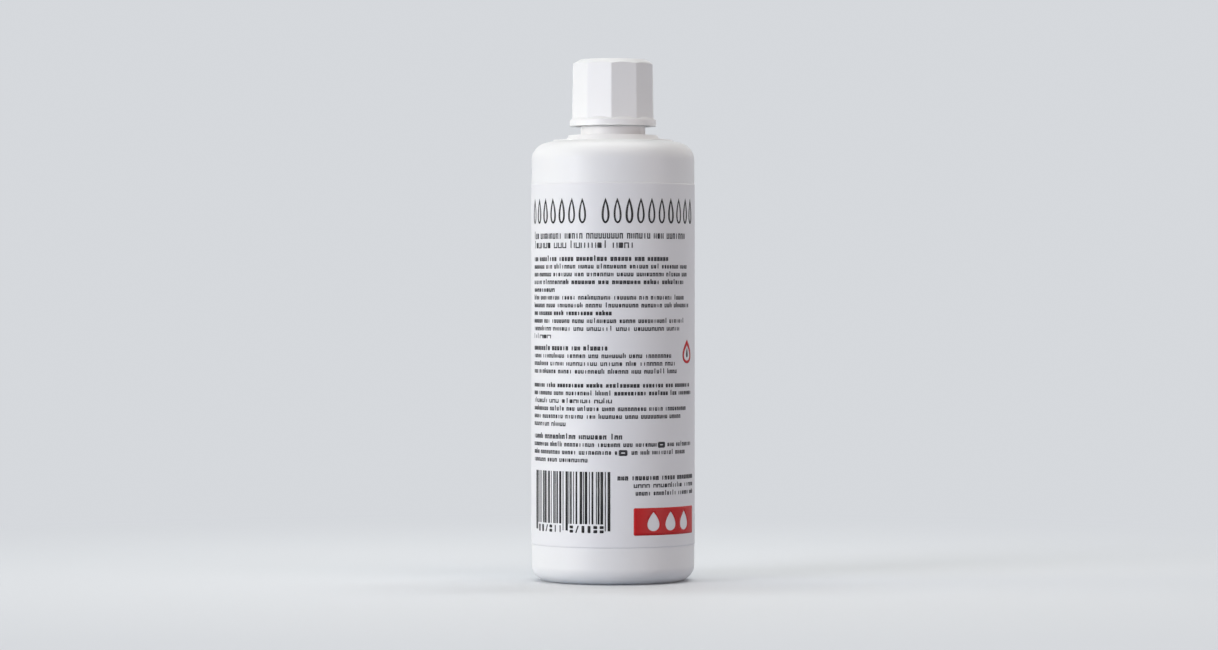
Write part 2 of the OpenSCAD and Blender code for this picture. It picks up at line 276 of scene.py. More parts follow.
def add_bump(nodes, links, shader, texture, depth_mm, under=None):
    """Relief of a depth in millimetres, on top of the relief under it."""
    bump = nodes.new("ShaderNodeBump")
    bump.inputs["Strength"].default_value = 1
    bump.inputs["Distance"].default_value = depth_mm * MM
    links.new(texture.outputs["Fac"], bump.inputs["Height"])
    if under:
        links.new(under.outputs["Normal"], bump.inputs["Normal"])
    links.new(bump.outputs["Normal"], shader.inputs["Normal"])
    return bump


def tint(nodes, links, shader, texture, colour, shade):
    """Colour that drifts between colour and shade times it."""
    ramp = nodes.new("ShaderNodeValToRGB")
    ramp.color_ramp.elements[0].position = NOISE_LOW
    ramp.color_ramp.elements[0].color = (*[c * shade for c in colour], 1)
    ramp.color_ramp.elements[1].position = NOISE_HIGH
    ramp.color_ramp.elements[1].color = (*colour, 1)
    links.new(texture.outputs["Fac"], ramp.inputs["Fac"])
    links.new(ramp.outputs["Color"], shader.inputs["Base Color"])


def glow_through(shader, weight, depth_mm):
    """Light that enters white plastic, and comes out again a little warmer."""
    shader.inputs["Subsurface Weight"].default_value = weight
    shader.inputs["Subsurface Radius"].default_value = (1, 0.95, 0.9)
    shader.inputs["Subsurface Scale"].default_value = depth_mm * MM


def blown_plastic():
    """Satin polyethylene: slow waves from the blowing, a fine pebble and faint upright streaks."""
    colour = (0.8, 0.8, 0.8)
    material, nodes, links, shader = node_material("blown_plastic", colour, 0.48)
    glow_through(shader, weight=0.12, depth_mm=1.2)
    waves = noise(nodes, links, scale=90, detail=2)
    pebble = noise(nodes, links, scale=1500, detail=2)
    streaks = noise(nodes, links, scale=500, stretch=(1, 1, 0.03))
    wavy = add_bump(nodes, links, shader, waves, depth_mm=0.12)
    add_bump(nodes, links, shader, pebble, depth_mm=0.008, under=wavy)
    roughen(nodes, links, shader, streaks, low=0.43, high=0.52)
    tint(nodes, links, shader, waves, colour, shade=DRIFT)
    return material


def moulded_plastic():
    """Semi-gloss polypropylene with faint flow lines up the flats and fine handling marks."""
    colour = (0.81, 0.81, 0.81)
    material, nodes, links, shader = node_material("moulded_plastic", colour, 0.42)
    glow_through(shader, weight=0.1, depth_mm=0.8)
    flow = noise(nodes, links, scale=260, stretch=(1, 1, 0.12))
    grain = noise(nodes, links, scale=2600, detail=2)
    marks = noise(nodes, links, scale=700, detail=5, stretch=(0.15, 1, 1))
    wavy = add_bump(nodes, links, shader, flow, depth_mm=0.006)
    add_bump(nodes, links, shader, grain, depth_mm=0.004, under=wavy)
    roughen(nodes, links, shader, marks, low=0.38, high=0.46)
    tint(nodes, links, shader, flow, colour, shade=DRIFT)
    return material


def label_film():
    """White satin film: a fine coat grain over slow unevenness of the glue."""
    colour = (0.772, 0.77, 0.782)
    material, nodes, links, shader = node_material("label_film", colour, 0.54)
    glue = noise(nodes, links, scale=130, detail=2)
    grain = noise(nodes, links, scale=3500)
    uneven = add_bump(nodes, links, shader, glue, depth_mm=0.05)
    add_bump(nodes, links, shader, grain, depth_mm=0.004, under=uneven)
    roughen(nodes, links, shader, grain, low=0.48, high=0.6)
    tint(nodes, links, shader, glue, colour, shade=DRIFT)
    return material


def ink(name, colour, shade):
    """Ink with small thin spots where the film's grain shows through."""
    material, nodes, links, shader = node_material(name, colour, 0.45)
    shader.inputs["Specular IOR Level"].default_value = 0.3
    specks = noise(nodes, links, scale=4200)
    add_bump(nodes, links, shader, specks, depth_mm=0.004)
    roughen(nodes, links, shader, specks, low=0.36, high=0.52)
    tint(nodes, links, shader, specks, colour, shade)
    return material


def foam():
    """Closed-cell foam with open pores cut through at its face, and painted shade in the pores' pits.
    """
    colour = (0.74, 0.74, 0.72)
    material, nodes, links, shader = node_material("liner_foam", colour, 0.8)
    pores = noise(nodes, links, scale=3000, detail=4)
    add_bump(nodes, links, shader, pores, depth_mm=0.06)
    # Painted shade: where the pores' relief is lowest, the foam's colour is darker
    tint(nodes, links, shader, pores, colour, shade=0.8)
    return material


def watery():
    """Clear descaler with the faintest cloud in it."""
    material, nodes, links, shader = node_material("watery", (0.93, 0.97, 0.98), 0.02)
    shader.inputs["Transmission Weight"].default_value = 1
    shader.inputs["IOR"].default_value = 1.34
    ripples = noise(nodes, links, scale=60, detail=2)
    add_bump(nodes, links, shader, ripples, depth_mm=0.05)
    roughen(nodes, links, shader, ripples, low=0.01, high=0.04)
    return material


# Bottle
BOTTLE_COLUMNS = 288
BODY_ROWS = (30, 60, 90)
# The line where the mould's halves met: its height, its two places and half its width in degrees,
# the columns beside it, and how far from the body's outline and the floor it stays
PARTING_H = 0.035
PARTING_TURNS = (0, 180)
PARTING_SIDE = 0.35
PARTING_COLUMNS = (-0.7, -0.35, -0.17, 0.17, 0.35, 0.7)
PARTING_CLEAR = 0.5
# Under the base it goes on as a pinched ridge, out to a radius
PINCH_H = 0.25
PINCH_R = 9.0
# Corner radii of the skin, in the order of its corners
OUTSIDE_RADII = [0, HEEL_R, 0, 0, 0, SHOULDER_R, 0.1, 0.1, 0.1, 0.12, 0.2, 0]
INSIDE_RADII = [RIM_R, 0.3, 0, 1.2, SHOULDER_R - WALL, 0, HEEL_R - WALL, 0]
BORE_ROW = 8
# Radii closer than this are the same
SAME = 1e-6


def parting(angle):
    """1 on the line where the mould's halves met, and 0 beside it."""
    turn = math.degrees(angle)
    off = min(abs((turn - p + 180) % 360 - 180) for p in PARTING_TURNS)
    return max(0, 1 - off / PARTING_SIDE)


def dome(rise, radius, ring_z, steps=10):
    """From the axis down to a ring, as an arc whose middle is rise above the ring."""
    ball = (radius ** 2 + rise ** 2) / (2 * rise)
    sweep = math.asin(radius / ball)
    angles = [sweep * i / steps for i in range(steps + 1)]
    return [(ball * math.sin(a), ring_z + rise - ball + ball * math.cos(a)) for a in angles]


def bottle_section():
    """The bottle's skin from the middle of its base, over the rim and back down inside."""
    slope_top = DECK_Z - DECK_STEP
    wall_top = slope_top - (BODY_R - DECK_R) * math.tan(SHOULDER_SLOPE)
    collar_top = DECK_Z + COLLAR_H
    inner_r = BODY_R - WALL
    inner_wall_top = wall_top - WALL / math.cos(SHOULDER_SLOPE) + WALL * math.tan(SHOULDER_SLOPE)
    inner_slope_top = inner_wall_top + (inner_r - BORE_R) * math.tan(SHOULDER_SLOPE)
    base = dome(PUNT_DEPTH, FOOT_R, 0)
    outside = [
        (RING_R, 0), (BODY_R, 0), *[(BODY_R, z) for z in BODY_ROWS], (BODY_R, wall_top),
        (DECK_R, slope_top), (DECK_R, DECK_Z), (COLLAR_R, DECK_Z), (COLLAR_R - COLLAR_LEAN, collar_top),
        (NECK_R, collar_top), (NECK_R, collar_top + PLAIN_NECK)
    ]
    threaded = [(NECK_R, z) for z in thread_rows(THREAD_START_Z)]
    inside_skin = [
        (NECK_R, RIM_Z), (BORE_R, RIM_Z), (BORE_R, inner_slope_top + BORE_ROW),
        (BORE_R, inner_slope_top), (inner_r, inner_wall_top), (inner_r, BODY_ROWS[1]),
        (inner_r, BASE_WALL), (RING_R, BASE_WALL), (FOOT_R, BASE_WALL)
    ]
    skin = base + fillet([base[-1]] + outside, [0] + OUTSIDE_RADII, steps=12)[1:] + threaded
    skin += fillet([threaded[-1]] + inside_skin, [0] + INSIDE_RADII + [0], steps=10)[1:]
    inner_dome = dome(PUNT_DEPTH, FOOT_R, BASE_WALL)
    return [tuple(p) for p in skin + inner_dome[::-1][1:]]


def make_bottle(material):
    """The shell, with the thread on its neck and the parting line up its outside."""
    skin = bottle_section()
    rim_index = max(range(len(skin)), key=lambda i: skin[i][1])
    thread_from = DECK_Z + COLLAR_H + PLAIN_NECK

    def section(angle):
        ridge = parting(angle)
        column = []
        for i, (r, z) in enumerate(skin):
            if i < rim_index:
                if abs(r - NECK_R) < SAME and z > thread_from:
                    r += bead(angle, z, THREAD_START_Z)
                elif COLLAR_R < r < BODY_R - PARTING_CLEAR and z > PARTING_CLEAR:
                    r += PARTING_H * ridge
                if r < PINCH_R and z < PUNT_DEPTH + PINCH_H:
                    z -= PINCH_H * ridge
            column.append((r, z))
        return column

    finer = [t + side for t in PARTING_TURNS for side in PARTING_COLUMNS]
    points, faces = lathe(even_angles(BOTTLE_COLUMNS, finer), section)
    weigh_normals(
        new_piece("bottle_shell", points, faces, material, "bottle", "bottle")
    )


# Cap
CAP_COLUMNS = 180
# Degrees beside each edge of the flats that get a column of their own
EDGE_COLUMNS = (-1.3, -0.9, -0.45, 0, 0.45, 0.9, 1.3)
CAP_RADII = [0, 0.08, 0.08, 0.3, 0.3, 0, 0.1, 0.2, 0.1, 0.1, 0]


def corner_off(angle):
    """Angle to the nearest edge between two flats."""
    step = math.tau / SIDES
    return (angle - FLATS_TURN + math.pi / 2 + step / 2) % step - step / 2


def flat_share(angle):
    """Distance from the axis to the flats over the distance to their middles, with rounded edges."""
    half_step = math.pi / SIDES
    across = FLATS_FOOT / 2
    off = abs(corner_off(angle))
    centre = (across - EDGE_ROUND) / math.cos(half_step)
    limit = math.atan2(EDGE_ROUND * math.sin(half_step), centre + EDGE_ROUND * math.cos(half_step))
    if off >= limit:
        return 1 / math.cos(half_step - off)
    reach = centre * math.cos(off) + math.sqrt(EDGE_ROUND ** 2 - (centre * math.sin(off)) ** 2)
    return reach / across


def cap_section(angle):
    """The cap's skin from the middle of its top, round the flange and up inside to the ceiling."""
    height = CAP_TOP_Z - CAP_Z
    lean = (FLATS_FOOT - FLATS_TOP) / 2 / height
    share = flat_share(angle)
    slope = 1 / math.tan(CAP_BEVEL)
    fall = ((FLATS_FOOT / 2 - height * lean) * share - CAP_TOP_R) / (slope - lean * share)
    rise = (FLANGE_R - (FLATS_FOOT / 2 - FLANGE_H * lean) * share) / (1 - lean * share)
    bevel_foot = (CAP_TOP_R + fall * slope, CAP_TOP_Z - fall)
    flat_foot = (FLANGE_R - rise, CAP_Z + FLANGE_H + rise)
    middle = tuple((Vector(bevel_foot) + Vector(flat_foot)) / 2)
    top = [
        (0, CAP_TOP_Z - GATE_DEPTH), (GATE_R, CAP_TOP_Z - GATE_DEPTH), (GATE_R + GATE_EDGE, CAP_TOP_Z),
        (CAP_TOP_R, CAP_TOP_Z), bevel_foot, middle, flat_foot, (FLANGE_R, CAP_Z + FLANGE_H),
        (FLANGE_R, CAP_Z), (CAP_BORE_R + MOUTH_BEVEL, CAP_Z), (CAP_BORE_R, CAP_Z + MOUTH_BEVEL)
    ]
    start_z = THREAD_START_Z - THREAD_OFFSET
    threaded = [(CAP_BORE_R - bead(angle, z, start_z), z) for z in thread_rows(start_z)]
    ceiling = [
        (CAP_BORE_R, CEILING_Z - CEILING_CORNER), (CAP_BORE_R - CEILING_CORNER, CEILING_Z),
        (0, CEILING_Z)
    ]
    return [tuple(p) for p in fillet(top, CAP_RADII, steps=5)] + threaded + ceiling


def make_cap(material):
    """The cap, whose section changes as it goes round, with the flats and the thread."""
    edges = [math.degrees(FLATS_TURN) - 90 + 360 * i / SIDES for i in range(SIDES)]
    finer = [edge + side for edge in edges for side in EDGE_COLUMNS]
    points, faces = lathe(even_angles(CAP_COLUMNS, finer), cap_section)
    faces = [tuple(reversed(f)) for f in faces]
    weigh_normals(new_piece("screw_cap", points, faces, material, "cap", "cap"))


# Liner and liquid
LINER_COLUMNS = 120
LINER_RADII = [0, 0.2, 0.1, 0]
LIQUID_COLUMNS = 160
LIQUID_ROW = 50
CLIMB = 0.5
# How the liquid's rim falls: millimetres in from the wall, and the share of the climb
MENISCUS = ((0.3, 0.6), (1, 1))


def make_liner(material):
    """A foam disc with soft edges."""
    r = liner_high.x
    corners = [(0, liner_low.z), (r, liner_low.z), (r, liner_high.z), (0, liner_high.z)]
    skin = fillet(corners, LINER_RADII)
    points, faces = lathe(even_angles(LINER_COLUMNS), lambda angle: [tuple(p) for p in skin])
    new_piece("foam_liner", points, faces, material, "cap_liner", "liner")


def make_liquid(material):
    """The descaler, with a low rim where it climbs the wall."""
    r = liquid_high.x
    low, level = liquid_low.z, liquid_high.z
    heel = HEEL_R - WALL
    under = dome(PUNT_DEPTH, FOOT_R, low)
    side = fillet([(RING_R, low), (r, low), (r, LIQUID_ROW), (r, level)], [0, heel, 0, 0], steps=8)
    top = [(r - inwards, level - CLIMB * share) for inwards, share in MENISCUS]
    top.append((0, level - CLIMB))
    skin = [tuple(p) for p in under + side + top]
    points, faces = lathe(even_angles(LIQUID_COLUMNS), lambda angle: skin)
    new_piece("descaler", points, faces, material, "descaler_liquid", "bottle")


# Label
LABEL_COLUMNS = 300
LABEL_ROWS = (30, 60)
CORNER_STEPS = 6


def wrapped(x, z, r):
    """A place on the label: x runs round it from the middle of its front."""
    angle = x / LABEL_R - math.pi / 2
    return (r * math.cos(angle), r * math.sin(angle), z)


def shell(rows_mm, inner_r, outer_rs):
    """A closed thin sheet on the cylinder, from rows of (x, z) places and each row's outer radius."""
    rows, columns = len(rows_mm), len(rows_mm[0])
    points = [wrapped(x, z, r) for row, r in zip(rows_mm, outer_rs) for x, z in row]
    points += [wrapped(x, z, inner_r) for row in rows_mm for x, z in row]
    back = rows * columns
    faces = []
    for i in range(rows - 1):
        for k in range(columns - 1):
            a, b = i * columns + k, (i + 1) * columns + k
            faces.append((a, a + 1, b + 1, b))
            faces.append((back + b, back + b + 1, back + a + 1, back + a))
    rim = list(range(columns))
    rim += [i * columns + columns - 1 for i in range(1, rows)]
    rim += [(rows - 1) * columns + k for k in range(columns - 2, -1, -1)]
    rim += [i * columns for i in range(rows - 2, 0, -1)]
    for a, b in zip(rim, rim[1:] + rim[:1]):
        faces.append((a, back + a, back + b, b))
    return points, faces


def make_label(material):
    """The film, bevelled at its cut edges, with rounded corners at the seam."""
    length = math.tau * LABEL_R - SEAM_W
    corner = LABEL_CORNER_R
    turns = [math.pi / 2 * i / CORNER_STEPS for i in range(CORNER_STEPS // 2, CORNER_STEPS + 1)]
    ends = [0, LABEL_BEVEL] + [corner * (1 - math.cos(turn)) for turn in turns]
    heights = [LABEL_Z + e for e in ends]
    heights += [LABEL_Z + row for row in LABEL_ROWS]
    heights += [LABEL_TOP_Z - e for e in reversed(ends)]
    rows = []
    for z in heights:
        depth = max(0, corner - min(z - LABEL_Z, LABEL_TOP_Z - z))
        inset = corner - math.sqrt(max(0, corner ** 2 - depth ** 2))
        half = length / 2 - inset
        rows.append([
            (-half + 2 * half * k / LABEL_COLUMNS, z) for k in range(LABEL_COLUMNS + 1)
        ])
    inner_r = BODY_R + LABEL_GAP
    edge_r = inner_r + LABEL_EDGE_T
    outer_rs = [edge_r] + [LABEL_R] * (len(heights) - 2) + [edge_r]
    points, faces = shell(rows, inner_r, outer_rs)
    weigh_normals(
        new_piece("wrap_label", points, faces, material, "label", "bottle")
    )


# Print
def inside(point, outline):
    """Whether a point lies inside an outline."""
    x, y = point
    hit = False
    for (x1, y1), (x2, y2) in zip(outline, outline[1:] + outline[:1]):
        if (y1 > y) != (y2 > y) and x < (x2 - x1) * (y - y1) / (y2 - y1) + x1:
            hit = not hit
    return hit


def divided(outline, step):
    """The outline with points added along its long edges, so that it can follow the round label."""
    out = []
    for a, b in zip(outline, outline[1:] + outline[:1]):
        parts = max(1, round(math.dist(a, b) / step))
        across, up = b[0] - a[0], b[1] - a[1]
        out += [(a[0] + across * i / parts, a[1] + up * i / parts) for i in range(parts)]
    return out


# How delaunay_2d_cdt is asked: for what the edges enclose, and with points nearer than this as one
ENCLOSED = 1
ONE_POINT = 1e-5


def plate(outline, holes=(), grid=0):
    """A thin closed plate of ink in the shape of an outline with holes; grid adds points across it."""
    if grid:
        outline = divided(outline, grid)
    loops = [outline, *holes]
    flat = [Vector(p) for loop in loops for p in loop]
    edges = []
    first = 0
    for loop in loops:
        edges += [(first + i, first + (i + 1) % len(loop)) for i in range(len(loop))]
        first += len(loop)
    if grid:
        xs, zs = [p[0] for p in outline], [p[1] for p in outline]
        for i in range(1, round((max(xs) - min(xs)) / grid)):
            for k in range(1, round((max(zs) - min(zs)) / grid)):
                spot = (min(xs) + i * grid, min(zs) + k * grid)
                if inside(spot, outline) and not any(inside(spot, hole) for hole in holes):
                    flat.append(Vector(spot))
    flat, _, triangles, *_ = delaunay_2d_cdt(flat, edges, [], ENCLOSED, ONE_POINT)
    kept = []
    for t in triangles:
        middle = sum((flat[i] for i in t), Vector((0, 0))) / 3
        if inside(middle, outline) and not any(inside(middle, hole) for hole in holes):
            kept.append(tuple(t))
    back = len(flat)
    points = [wrapped(x, z, LABEL_R + INK_T) for x, z in flat]
    points += [wrapped(x, z, LABEL_R + INK_GAP) for x, z in flat]
    # The edges that only one triangle has, in a dict because a set keeps no order
    sides = {}
    for t in kept:
        for a, b in zip(t, t[1:] + t[:1]):
            if (b, a) in sides:
                del sides[(b, a)]
            else:
                sides[(a, b)] = True
    faces = kept + [tuple(back + i for i in reversed(t)) for t in kept]
    faces += [(b, a, back + a, back + b) for a, b in sides]
    return points, faces


def joined(parts):
    """The points and faces of several parts as those of one."""
    points, faces = [], []
    for more_points, more_faces in parts:
        first = len(points)
        points += more_points
        faces += [tuple(first + i for i in f) for f in more_faces]
    return points, faces


def block(x, z, w, h, blunt=0.12):
    """The outline of a plain block with blunted corners, from its lower left corner."""
    c = min(blunt, w / 3, h / 3)
    return [
        (x + c, z), (x + w - c, z), (x + w, z + c), (x + w, z + h - c),
        (x + w - c, z + h), (x + c, z + h), (x, z + h - c), (x, z + c)
    ]


def drop(x, z, w, h, steps=36, tilt=0):
    """The outline of a water drop, point up, centred on its height."""
    # The most that the sine of an angle times the sine of half of it comes to
    widest = 0.77
    out = []
    for i in range(steps):
        a = math.tau * i / steps
        across = w / 2 * math.sin(a) * math.sin(a / 2) / widest
        up = h / 2 * math.cos(a)
        out.append((x - across + tilt * up, z + up))
    return out


def outlined_drop(x, z, w, h, line, tilt=0):
    """A drop drawn with a line, which is thicker at the drop's point."""
    hole = drop(x, z - line / 2, w - 2 * line, h - 3 * line, tilt=tilt)
    return plate(drop(x, z, w, h, tilt=tilt), [hole])


def print_z(share):
    """The height of a place that lies this share of the label's height below its top."""
    return LABEL_TOP_Z - share * (LABEL_TOP_Z - LABEL_Z)


# A name that ends in AT is a place down the label, as a share of the label's height
TITLE_AT = 0.0764
TITLE_GROUPS = (7, 10)
DROP_PITCH = 3.0
DROP_W = 2.0
DROP_H = 6.4
DROP_LINE = 0.5
DROP_TILT = 0.02
LINE_SHARES = (0.9, 1.15)


def make_title(material):
    """A row of hand-drawn drops, in two groups with one drop's place between them."""
    rng = random.Random(5)
    row_w = sum(TITLE_GROUPS) * DROP_PITCH
    z = print_z(TITLE_AT)
    parts = []
    for group, count in enumerate(TITLE_GROUPS):
        before = 0 if group == 0 else TITLE_GROUPS[0] + 1
        for i in range(count):
            x = (before + i) * DROP_PITCH - row_w / 2 - COLUMN_SHIFT
            tilt = rng.uniform(-DROP_TILT, DROP_TILT)
            line = DROP_LINE * rng.uniform(*LINE_SHARES)
            parts.append(outlined_drop(x, z, DROP_W, DROP_H, line, tilt))
    points, faces = joined(parts)
    new_piece("title_ink", points, faces, material, "print_title", "bottle")


# The bare share of a word's last mark, and the space from that mark to the next word, in marks
LETTER_SPACE = 0.25
WORD_SPACE = 0.75
# Space between marks, how much higher some of them are, and widths of the strokes
MARK_SPACE = 0.18
TALL = 1.4
BLOCK_INSET = 0.06
STROKE = 0.26
BOLD_STROKE = 0.34
INTRO_STROKE = 0.28
# A name that ends in SHARES gives lines' lengths as shares of the column or of the side lines' width
INTRO_AT = 0.1457
INTRO_SHARES = (0.93, 0.61)
INTRO_SIZE = 1.25
# Each block of text: where its first line is, and its lines' lengths, below zero for headings
TEXT_BLOCKS = (
    (0.2088, (-0.8, 0.95, 0.95, 0.92, 0.19, 0.92, 0.97, 0.5, 0.92, 0.88, 0.16)),
    (0.4536, (-0.48, 0.82, 0.85, 0.86)),
    (0.5557, (0.98, 1, 0.5, 0.94, 0.89, 0.26)),
    (0.6965, (-0.55, 1, 0.93, 0.38)),
)
# In some lines the letters turn bold from this share of the column on
BOLD_FROM = {(0, 3): 0.24, (0, 4): 0, (0, 7): 0.12, (2, 0): 0, (2, 1): 0.5}
# Small dark tags in the last block: line, and place as a share of the column
TAGS = ((1, 0.738), (2, 0.535))
TAG_W = 2.5
TAG_H = 1.5
TAG_SPACE = 0.3
TAG_FRAME = 0.6
TAG_SLOT_H = 0.3
TAG_BLUNT, TAG_SLOT_BLUNT = 0.25, 0.1
# Bars, the lines to the right of them, and the red panel under those
BARS_AT = 0.787
BARS_W = 24.2
BARS_SHIFT = 1.3
BAR_X = COLUMN_X + BARS_SHIFT
RED_SHIFT = 1.4
RED_END = COLUMN_END + RED_SHIFT
SIDE_AT = 0.8085
SIDE_SHARES = (1, 0.84, 0.82)
SIDE_GAP = 1.8
SIDE_W = RED_END - BAR_X - BARS_W - SIDE_GAP
RED_AT = 0.8903
RED_H = 6.9
RED_Z = print_z(RED_AT) - RED_H
RED_W = 21.6
RED_X = RED_END - RED_W
RED_CORNER = 0.4
RED_DROP_H = 4.8
RED_DROP_W = 3.5
PANEL_GRID = 0.7
# The red drop beside the text, with a small dark one in it
SIGN_AT = 0.4635
SIGN_H = 6.0
SIGN_W = 4.6
SIGN_X = COLUMN_END - SIGN_W / 2
SIGN_Z = print_z(SIGN_AT)
SIGN_LINE = 0.7
SIGN_MARK_W, SIGN_MARK_H = SIGN_W * 0.2, SIGN_H * 0.4
SIGN_MARK_DROP = 0.3


def letters(k):
    """Number of marks in word k, from 3 to 10, scattered but the same each run."""
    return 3 + (k * 5 + k // 3 * 7) % 8


def words(k, x, end):
    """The words that fit in a line, each as its start and its number of marks."""
    out = []
    while x + (letters(k) - LETTER_SPACE) * LETTER_W <= end:
        out.append((x, letters(k)))
        x += (letters(k) + WORD_SPACE) * LETTER_W
        k += 1
    return out


def mark_parts(x, base, width, height, stroke, rng):
    """One plain mark of greeked text: an upright, two uprights, a block, an arch or a cup."""
    tall = height * rng.choice((1, 1, 1, TALL))
    kind = rng.choice(("pair", "block", "arch", "cup", "arch", "cup", "upright"))
    if kind == "upright":
        return [block(x + width / 2 - stroke / 2, base, stroke, tall)]
    if kind == "pair":
        return [block(x, base, stroke, tall), block(x + width - stroke, base, stroke, height)]
    if kind == "block":
        return [block(x + BLOCK_INSET, base, width - 2 * BLOCK_INSET, height)]
    outline = [
        (0, 0), (stroke, 0), (stroke, height - stroke), (width - stroke, height - stroke),
        (width - stroke, 0), (width, 0), (width, height), (0, height)
    ]
    if kind == "cup":
        outline = [(width - u, height - v) for u, v in outline]
    return [[(x + u, base + v) for u, v in outline]]


def line_marks(k, x, length, middle, height, rng, stroke=STROKE, bold_from=math.inf, skip=(), size=1):
    """One line's marks, spread to fill it but for a stretch to skip, and bold from a place on."""
    base = middle - height / 2
    found = words(k, 0, length / size)
    if not found:
        found = [(0, max(2, round(length / LETTER_W)))]
    last_x, last_count = found[-1]
    spread_by = length / (last_x + (last_count - LETTER_SPACE) * LETTER_W)
    pitch = LETTER_W * spread_by
    out = []
    for start, count in found:
        for i in range(count):
            mark_x = x + start * spread_by + i * pitch
            if skip and skip[0] - pitch < mark_x < skip[1]:
                continue
            line = BOLD_STROKE if mark_x >= bold_from else stroke
            out += mark_parts(mark_x, base, pitch - MARK_SPACE * size, height, line, rng)
    return out


def make_text(material):
    """Greeked lines in the places of the printed ones: plain marks that spell nothing."""
    rng = random.Random(11)
    marks = []
    tags = []
    for i, share in enumerate(INTRO_SHARES):
        z = print_z(INTRO_AT) - i * INTRO_PITCH
        marks += line_marks(
            40 * i, COLUMN_X, share * COLUMN_W, z, INTRO_H, rng, INTRO_STROKE, size=INTRO_SIZE
        )
    for b, (depth, shares) in enumerate(TEXT_BLOCKS):
        for i, share in enumerate(shares):
            heading = share < 0
            height = HEADING_H if heading else LETTER_H
            z = print_z(depth) - i * LINE_PITCH
            bold_share = 0 if heading else BOLD_FROM.get((b, i), math.inf)
            tag_at = dict(TAGS).get(i) if b == len(TEXT_BLOCKS) - 1 else None
            skip = ()
            if tag_at:
                tag_x = COLUMN_X + tag_at * COLUMN_W
                skip = (tag_x, tag_x + TAG_W)
                tag_w = TAG_W - TAG_SPACE
                outer = block(tag_x, z - TAG_H / 2, tag_w, TAG_H, TAG_BLUNT)
                hole = block(
                    tag_x + TAG_FRAME, z - TAG_SLOT_H / 2, tag_w - 2 * TAG_FRAME, TAG_SLOT_H,
                    TAG_SLOT_BLUNT
                )
                tags.append(plate(outer, [hole]))
            marks += line_marks(
                11 * i + 3 * b, COLUMN_X, abs(share) * COLUMN_W, z, height, rng,
                bold_from=COLUMN_X + bold_share * COLUMN_W, skip=skip
            )
    for i, share in enumerate(SIDE_SHARES):
        heading = i == 0
        height = HEADING_H if heading else LETTER_H
        x = RED_END - share * SIDE_W
        bold_x = x if heading else math.inf
        z = print_z(SIDE_AT) - i * LINE_PITCH
        marks += line_marks(7 * i, x, share * SIDE_W, z, height, rng, bold_from=bold_x)
    sign_mark = drop(SIGN_X, SIGN_Z - SIGN_MARK_DROP, SIGN_MARK_W, SIGN_MARK_H, steps=16)
    points, faces = joined([plate(m) for m in [*marks, sign_mark]] + tags)
    new_piece("text_ink", points, faces, material, "print_text", "bottle")


# Bars, six of which reach farther down, and the plain marks under the rest
BAR_COUNT = 30
BAR_H = 13.15
BARS_DROP = 0.35
BAR_TOP_Z = print_z(BARS_AT) - BARS_DROP
LONG_DROP = 1.7
BAR_BLUNT = 0.03
MARK_W = 1.0
MARK_H = 1.8
MARK_LINE = 0.36
MARK_INSET = 0.12
HALVES_GAP = 0.3
MARK_DROP = 0.4
MARKS_IN_GROUP = 6
MARK_GROUPS = ((2, BAR_COUNT // 2 - 1), (BAR_COUNT // 2 + 1, BAR_COUNT - 2))


def make_bars(material):
    """Upright bars with plain marks under them, which stand for no number."""
    rng = random.Random(3)
    widths = [1 + i * 5 % 7 % 3 for i in range(BAR_COUNT)]
    starts, x = [], 0
    for i, width in enumerate(widths):
        starts.append(x)
        x += width + 1 + i * 3 % 5 % 3
    unit = BARS_W / (starts[-1] + widths[-1])
    half = BAR_COUNT // 2
    parts = []
    for i, start in enumerate(starts):
        is_long = i < 2 or i in (half - 1, half) or i > BAR_COUNT - 3
        h = BAR_H + (LONG_DROP if is_long else 0)
        bar_x = BAR_X + start * unit
        parts.append(plate(block(bar_x, BAR_TOP_Z - h, widths[i] * unit, h, BAR_BLUNT)))
    for first, last in MARK_GROUPS:
        pitch = (starts[last] - starts[first]) * unit / MARKS_IN_GROUP
        for i in range(MARKS_IN_GROUP):
            mark_x = BAR_X + starts[first] * unit + (i + 0.5) * pitch - MARK_W / 2
            z = BAR_TOP_Z - BAR_H - MARK_DROP - MARK_H
            kind = rng.choice(("upright", "block", "slope", "halves"))
            parts += [plate(m) for m in under_mark(mark_x, z, kind)]
    points, faces = joined(parts)
    new_piece("bars_ink", points, faces, material, "print_bars", "bottle")


def under_mark(x, z, kind):
    """A plain mark under the bars: a bar, a block, a sloping bar or two half blocks."""
    end, top = x + MARK_W, z + MARK_H
    if kind == "upright":
        return [block(x + MARK_W / 2 - MARK_LINE / 2, z, MARK_LINE, MARK_H)]
    if kind == "slope":
        return [[(x, z), (x + MARK_LINE, z), (end, top), (end - MARK_LINE, top)]]
    if kind == "halves":
        half_h = (MARK_H - HALVES_GAP) / 2
        return [block(x, z, MARK_W, half_h), block(x, top - half_h, MARK_W, half_h)]
    return [block(x + MARK_INSET, z, MARK_W - 2 * MARK_INSET, MARK_H)]


def make_red(material):
    """A red panel with three bare drops in it, and one red drop beside the text."""
    end, top = RED_X + RED_W, RED_Z + RED_H
    corners = [(RED_X, RED_Z), (end, RED_Z), (end, top), (RED_X, top)]
    closed = [corners[-1], *corners, corners[0]]
    panel = [tuple(p) for p in fillet(closed, [0, *[RED_CORNER] * 4, 0])[1:-1]]
    drops = [
        drop(RED_X + RED_W * i / 4, RED_Z + RED_H / 2, RED_DROP_W, RED_DROP_H) for i in (1, 2, 3)
    ]
    sign = outlined_drop(SIGN_X, SIGN_Z, SIGN_W, SIGN_H, SIGN_LINE)
    points, faces = joined([plate(panel, drops, PANEL_GRID), sign])
    new_piece("red_ink", points, faces, material, "print_red", "bottle")


